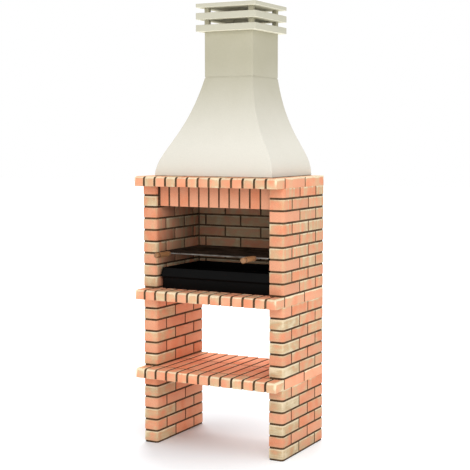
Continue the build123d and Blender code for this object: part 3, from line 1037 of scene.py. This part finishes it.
@dataclass
class Handles:
    """The two turned beech handles, each bored at the rear for its shank.

    The turning gives shares of the length from the rear end, each with its radius in millimetres.
    """

    finish: Material
    facets: int = 28
    bore_radius: float = 3.6 * MM
    bore_depth: float = 62 * MM
    rear_radius: float = 11.8 * MM
    turning: tuple[tuple[float, float], ...] = (
        (0.012, 12.8), (0.05, 13.4), (0.075, 13.4), (0.085, 12.0), (0.105, 12.0), (0.115, 13.4),
        (0.2, 13.5), (0.32, 13.7), (0.46, 14.0), (0.6, 14.4), (0.7, 14.5), (0.765, 14.1),
        (0.785, 12.0), (0.815, 12.0), (0.835, 13.7), (0.88, 14.5), (0.93, 14.2), (0.965, 12.8),
        (0.988, 9.9), (1.0, 5.5),
    )
    scorched: tuple[tuple[float, float], ...] = ((0.08, 0.11), (0.78, 0.82))
    smooth_angle: float = math.radians(40)

    def turn(self, low: Vector, high: Vector) -> Object:
        """Turns one handle from a disc, drawn out ring by ring from its rear end to its tip.

        Args:
            low: the lower corner of the handle's box in the frame.
            high: the upper corner of that box.

        Returns:
            The handle.
        """
        middle, length = (low + high) / 2, high.y - low.y
        bpy.ops.object.select_all(action="DESELECT")
        bpy.ops.mesh.primitive_circle_add(
            vertices=self.facets, radius=self.rear_radius, fill_type="NGON",
            location=(middle.x, high.y, middle.z), rotation=(math.radians(90), 0, 0),
        )
        piece = bpy.context.active_object
        bpy.ops.object.transform_apply(location=True, rotation=True, scale=True)
        bpy.ops.object.mode_set(mode="EDIT")
        bpy.ops.mesh.select_all(action="SELECT")
        share, radius = 0.0, self.rear_radius
        for next_share, next_radius in self.turning:
            step = (0, -(next_share - share) * length, 0)
            bpy.ops.mesh.extrude_region_move(TRANSFORM_OT_translate={"value": step})
            scale = next_radius * MM / radius
            ring = (middle.x, high.y - next_share * length, middle.z)
            bpy.ops.transform.resize(value=(scale, 1, scale), center_override=ring)
            share, radius = next_share, next_radius * MM
        pick(piece, "FACE", lambda place, _: abs(place.y - high.y) < MERGE_DISTANCE)
        bpy.ops.mesh.inset(thickness=self.rear_radius - self.bore_radius)
        bpy.ops.mesh.extrude_region_move(TRANSFORM_OT_translate={"value": (0, -self.bore_depth, 0)})
        settle(piece, "turned_right_handle")
        return piece

    def dress(self, piece: Object, node: str) -> None:
        """Marks the painted shade in the grooves and puts the handle on the grill.

        Args:
            piece: the handle.
            node: the node that it stands for.
        """
        low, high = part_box(node)
        scorch = piece.data.attributes.new("scorch", "FLOAT", "POINT")
        for vertex, mark in zip(piece.data.vertices, scorch.data):
            share = (high.y - vertex.co.y) / (high.y - low.y)
            mark.value = float(any(start <= share <= end for start, end in self.scorched))
        piece.data.materials.append(self.finish)
        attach(piece, "grill")
        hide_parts(node)

    def build(self) -> list[Object]:
        """Turns the right handle and copies it for the left.

        Returns:
            The two handles.
        """
        low, high = (Vector(corner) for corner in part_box("right_handle"))
        right = self.turn(low, high)
        only(right)
        bpy.ops.object.shade_smooth_by_angle(angle=self.smooth_angle)
        left = right.copy()
        left.data = right.data.copy()
        left.name = "turned_left_handle"
        bpy.context.scene.collection.objects.link(left)
        only(left)
        left.location.x = (Vector(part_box("left_handle")[0]) - low).x
        bpy.ops.object.transform_apply(location=True, rotation=False, scale=False)
        self.dress(right, "right_handle")
        self.dress(left, "left_handle")
        return [right, left]


@dataclass
class CharcoalTray:
    """The tray of folded sheet, with rounded corners, a bead pressed out all round and a rim.

    The bead's profile gives places across its width, each with its share of the bead's depth.
    """

    finish: Material
    sheet: float = 1.5 * MM
    corner_radius: float = 9 * MM
    corner_segments: int = 6
    bead_depth: float = 4 * MM
    bead_middle: float = 62 * MM
    bead_width: float = 14 * MM
    bead_profile: tuple[tuple[float, float], ...] = (
        (-0.5, 0.0), (-0.25, 0.8), (0.0, 1.0), (0.25, 0.8), (0.5, 0.0),
    )
    rim_width: float = 2.2 * MM
    rim_drop: float = 5 * MM
    fold_width: float = 0.6 * MM
    fold_segments: int = 2

    def build(self) -> list[Object]:
        """Folds the tray.

        Returns:
            The tray, in a list of one.
        """
        low, high = (Vector(corner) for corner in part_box("charcoal_tray"))
        proud = Vector((self.bead_depth, self.bead_depth, 0))
        low, high = low + proud, high - proud
        middle, size = (low + high) / 2, high - low
        bpy.ops.object.select_all(action="DESELECT")
        bpy.ops.mesh.primitive_cube_add(size=1, location=middle, scale=size)
        piece = bpy.context.active_object
        bpy.ops.object.transform_apply(location=True, rotation=True, scale=True)
        bpy.ops.object.mode_set(mode="EDIT")
        pick(piece, "EDGE", lambda a, b: abs(a.z - b.z) > MERGE_DISTANCE)
        bpy.ops.mesh.bevel(
            offset=self.corner_radius, segments=self.corner_segments,
            affect="EDGES", offset_type="OFFSET",
        )
        pick(piece, "FACE", lambda _, normal: normal.z > UPWARD)
        bpy.ops.mesh.delete(type="FACE")

        # The bead: five cuts round the wall, with the three middle ones pressed outward
        for offset, press in self.bead_profile:
            cut_z = low.z + self.bead_middle + offset * self.bead_width
            bpy.ops.mesh.select_all(action="SELECT")
            bpy.ops.mesh.bisect(plane_co=(0, 0, cut_z), plane_no=(0, 0, 1))
            if press:
                pick(
                    piece, "EDGE",
                    lambda a, b: abs(a.z - cut_z) + abs(b.z - cut_z) < MERGE_DISTANCE,
                )
                grow = [1 + 2 * press * self.bead_depth / size[i] for i in range(2)]
                ring = (middle.x, middle.y, cut_z)
                bpy.ops.transform.resize(value=(*grow, 1), center_override=ring)

        # The rim: the top edge is folded outward and then down
        pick(piece, "EDGE", lambda a, b: min(a.z, b.z) > high.z - MERGE_DISTANCE)
        grow = [1 + 2 * self.rim_width / size[i] for i in range(2)]
        bpy.ops.mesh.extrude_region_move()
        bpy.ops.transform.resize(value=(*grow, 1), center_override=(middle.x, middle.y, high.z))
        bpy.ops.mesh.extrude_region_move(TRANSFORM_OT_translate={"value": (0, 0, -self.rim_drop)})
        settle(piece, "folded_charcoal_tray")

        thick = piece.modifiers.new("sheet", "SOLIDIFY")
        thick.thickness = self.sheet
        thick.offset = 0
        bpy.ops.object.modifier_apply(modifier=thick.name)
        bevel(piece, self.fold_width, self.fold_segments)
        piece.data.materials.append(self.finish)
        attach(piece, "tray")
        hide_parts("charcoal_tray")
        return [piece]


def dress_nodes(frame: dict, nodes: list[str], finish: Material) -> None:
    """Gives nodes whose shape is right their finish.

    Args:
        frame: the loaded frame.
        nodes: the nodes' names.
        finish: the material.
    """
    for node in nodes:
        mesh = frame["nodes"][node].data
        mesh.materials.clear()
        mesh.materials.append(finish)


@dataclass(frozen=True)
class Lamp:
    """One square soft lamp that points at the middle of the barbecue."""

    name: str
    place: tuple[float, float, float]
    size: float
    power: float

    def hang(self, target: Vector) -> None:
        """Hangs the lamp.

        Args:
            target: the point that it faces.
        """
        data = bpy.data.lights.new(self.name, "AREA")
        data.size = self.size
        data.energy = self.power
        lamp = bpy.data.objects.new(self.name, data)
        lamp.location = self.place
        lamp.rotation_euler = (target - lamp.location).to_track_quat("-Z", "Y").to_euler()
        bpy.context.scene.collection.objects.link(lamp)


@dataclass
class Studio:
    """A pale floor, soft lamps and the camera, at the photograph's viewing angle."""

    camera_place: tuple[float, float, float] = (2.8153, -5.1524, 1.6045)
    camera_turn: float = 28.346
    camera_tilt: float = 4.90
    lens: float = 86.93
    sensor: float = 36.0
    sky_strength: float = 0.75
    floor_size: float = 60.0
    floor_tone: str = "#DDE1E4"
    floor_near: float = 0.15
    floor_far: float = 1.5
    near_glow: float = 0.0
    far_glow: float = 0.8
    unseen_glow: float = 0.5
    glow_middle: tuple[float, float, float] = (-0.3, 0.15, 0.0)
    middle: tuple[float, float, float] = (0.0, 0.0, 1.0)
    lamps: tuple[Lamp, ...] = (
        Lamp("key", (2.3, -4.0, 3.6), 3.0, 98),
        Lamp("side", (4.5, -1.6, 2.2), 2.4, 12),
        Lamp("back", (-2.5, 4.4, 7.2), 4.0, 430),
    )

    def backdrop(self) -> None:
        """Lights the room softly and evenly, and shows white behind the object."""
        world = bpy.data.worlds.new("studio")
        bpy.context.scene.world = world
        world.use_nodes = True
        tree = world.node_tree
        tree.nodes.clear()
        ray = add_node(tree, "ShaderNodeLightPath").outputs
        seen = ray["Is Camera Ray"]
        for kind in ("Is Glossy Ray", "Is Transmission Ray"):
            seen = add_node(tree, "ShaderNodeMath", (seen, ray[kind]), operation="MAXIMUM")
        strength = add_node(tree, "ShaderNodeMapRange", {0: seen, 3: self.sky_strength, 4: 1.0})
        sky = add_node(
            tree, "ShaderNodeBackground", {"Color": (1, 1, 1, 1), "Strength": strength}
        )
        add_node(tree, "ShaderNodeOutputWorld", {"Surface": sky})

    def floor(self) -> None:
        """Lays the floor, which glows just enough to reach white where no shadow falls."""
        bpy.ops.object.select_all(action="DESELECT")
        bpy.ops.mesh.primitive_plane_add(size=self.floor_size)
        floor = bpy.context.active_object
        floor.name = "studio_floor"
        material, tree = new_material("studio_floor_paint")
        seen = add_node(tree, "ShaderNodeLightPath").outputs["Is Camera Ray"]
        place = add_node(tree, "ShaderNodeTexCoord").outputs["Object"]
        away = add_node(
            tree, "ShaderNodeVectorMath", (place, self.glow_middle), operation="DISTANCE"
        ).outputs["Value"]
        glow = add_node(
            tree, "ShaderNodeMapRange",
            (away, self.floor_near, self.floor_far, self.near_glow, self.far_glow),
        )
        share = add_node(tree, "ShaderNodeMapRange", {0: seen, 3: self.unseen_glow, 4: 1.0})
        glow = add_node(tree, "ShaderNodeMath", (share, glow), operation="MULTIPLY")
        shader = add_node(
            tree, "ShaderNodeBsdfPrincipled",
            {
                "Base Color": linear(self.floor_tone), "Roughness": 1.0, "Specular IOR Level": 0.0,
                "Emission Color": (1, 1, 1, 1), "Emission Strength": glow,
            },
        )
        add_node(tree, "ShaderNodeOutputMaterial", {"Surface": shader})
        floor.data.materials.append(material)

    def camera(self) -> None:
        """Sets up the camera at the photograph's viewing angle."""
        data = bpy.data.cameras.new("camera")
        data.lens = self.lens
        data.sensor_width = self.sensor
        camera = bpy.data.objects.new("camera", data)
        camera.location = self.camera_place
        turn = (90 - self.camera_tilt, 0, self.camera_turn)
        camera.rotation_euler = [math.radians(angle) for angle in turn]
        bpy.context.scene.collection.objects.link(camera)
        bpy.context.scene.camera = camera

    def build(self) -> None:
        """Sets the stage: the backdrop, the floor, the lamps and the camera."""
        bpy.context.scene.view_settings.view_transform = "Standard"
        self.backdrop()
        self.floor()
        for lamp in self.lamps:
            lamp.hang(Vector(self.middle))
        self.camera()


def main() -> None:
    """Builds the studio and every dressed piece, in order."""
    logging.basicConfig(level=logging.INFO, format="%(name)s: %(message)s")
    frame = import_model()

    by_slot: dict[str, list[str]] = {}
    for part in frame["record"]["subparts"]:
        by_slot.setdefault(part["material_slot"], []).append(part["node"])
    level_brick = FiredBrick("flamed_brick_laid_level", Grain.LEVEL).material()
    banded_brick = FiredBrick(
        "flamed_brick_wire_banded", Grain.BANDED,
        drag_width=13 * MM, drag_share=2.4, patch_share=0.6,
    ).material()
    # The bricks laid on edge take stronger, wider pale arrises: painted highlight where the
    # shelves' rounded noses catch the light
    upright_brick = FiredBrick(
        "flamed_brick_laid_on_edge", Grain.UPRIGHT,
        edge_flash=0.62, flash_reach=17 * MM, arris_bleach=1.5,
    ).material()
    smear = StruckMortar("mortar_smeared_brick", dark="#4A2C1D", light="#7A4A30").material()
    mortar = StruckMortar().material()
    bedding = StruckMortar("lime_bedding_mortar", dark="#8E6F57", light="#B8977A").material()
    concrete = CastConcrete().material()
    # The cap's undersides take a pale tone: painted light in the dark gaps of the cap
    cap_concrete = CastConcrete(
        "cap_concrete", foot="#DEDACE", top="#C2BEAB", sheltered="#F6F1DC"
    ).material()
    paint = StovedPaint().material()
    # The bars inside the firebox take a darker copy of the frame's wire: painted shade
    burnt = DrawnWire("fire_blackened_wire", bright="#544A42", burnt="#2F2823").material()
    wire = DrawnWire().material()
    beech = TurnedBeech().material()
    rod_steel = MillSteel().material()

    bricks = (level_brick, banded_brick, upright_brick)
    made = Brickwork(frame, *bricks, smear, by_slot["mortar"]).build()
    made += Castings(frame, concrete, cap_concrete).build()
    made += Handles(beech).build() + CharcoalTray(paint).build()
    for piece in made:
        LOG.info("%s: %d faces", piece.name, len(piece.data.polygons))

    dress_nodes(frame, by_slot["mortar"], mortar)
    dress_nodes(frame, ["hood_mortar_bed"], bedding)
    dress_nodes(frame, ["hood_shell", "flue_mortar_bed"], concrete)
    dress_nodes(frame, by_slot["black_steel"], paint)
    dress_nodes(frame, by_slot["wire_steel"], wire)
    dress_nodes(frame, ["grill_bars", "grill_cross_bars"], burnt)
    dress_nodes(frame, by_slot["wood"], beech)
    dress_nodes(frame, by_slot["rod_steel"], rod_steel)

    Studio().build()


if __name__ == "__main__":
    main()
